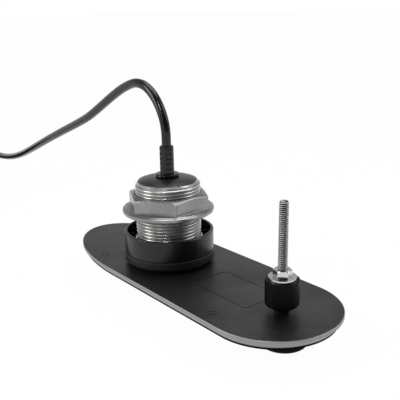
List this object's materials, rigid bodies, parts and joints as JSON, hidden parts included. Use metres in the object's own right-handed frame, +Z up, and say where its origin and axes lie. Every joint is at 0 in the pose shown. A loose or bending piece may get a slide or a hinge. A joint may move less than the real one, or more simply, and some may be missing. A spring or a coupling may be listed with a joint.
{
  "type": "sonar transducer",
  "caption": "Flush through-hull sonar transducer: round-ended plate over an acoustic pod, threaded stem with flanged hull nut and spacer, anti-rotation stud and a coiled lead.",
  "frame": {"origin": "centre of the plate in plan, on the flat bottom of the acoustic pod", "axes": "+X along the plate towards the anti-rotation stud, +Z up along the stem, out of the bedding face"},
  "size_m": [0.6026, 0.1561, 0.1598],
  "materials": {
    "pad_plastic": "fine moulded grain",
    "housing_metal": "bead-blasted",
    "window_plastic": "satin cast resin",
    "stem_metal": "turned and threaded",
    "nut_metal": "cast and tumbled satin",
    "stud_metal": "bright stainless",
    "spacer_plastic": "semi-gloss moulded",
    "cap_plastic": "satin moulded",
    "seal_rubber": "matt",
    "cable_jacket": "satin",
    "tie_fabric": "woven",
    "connector_plastic": "fine moulded grain",
    "contact_metal": "plated",
    "element_ceramic": "fired, silvered",
    "backing_cork": "matt",
    "carrier_plastic": "moulded",
    "board_laminate": "lacquered"
  },
  "bodies": {
    "root": {"top_pad": "pad_plastic", "housing_plate": "housing_metal", "acoustic_window": "window_plastic", "window_seal": "seal_rubber", "element_carrier": "carrier_plastic", "port_element": "element_ceramic", "starboard_element": "element_ceramic", "down_element": "element_ceramic", "port_backing": "backing_cork", "starboard_backing": "backing_cork", "down_backing": "backing_cork", "temperature_probe": "contact_metal", "element_leads": "cable_jacket", "terminal_board": "board_laminate", "stem": "stem_metal", "stem_o_ring": "seal_rubber", "hull_gasket": "seal_rubber", "hull_spacer": "spacer_plastic", "hull_nut": "nut_metal", "stem_cap": "cap_plastic", "cap_o_ring": "seal_rubber", "strain_relief": "cable_jacket", "lead_core": "cable_jacket", "cable": "cable_jacket", "cable_coil": "cable_jacket", "coil_tie": "tie_fabric", "cable_end": "cable_jacket", "connector_boot": "cable_jacket", "connector_body": "connector_plastic", "connector_insert": "connector_plastic", "connector_pins": "contact_metal", "connector_collar": "connector_plastic", "stud": "stud_metal", "stud_seal": "seal_rubber", "stud_bushing": "seal_rubber", "stud_washer": "stud_metal", "stud_nut": "stud_metal"}
  },
  "joints": []
}
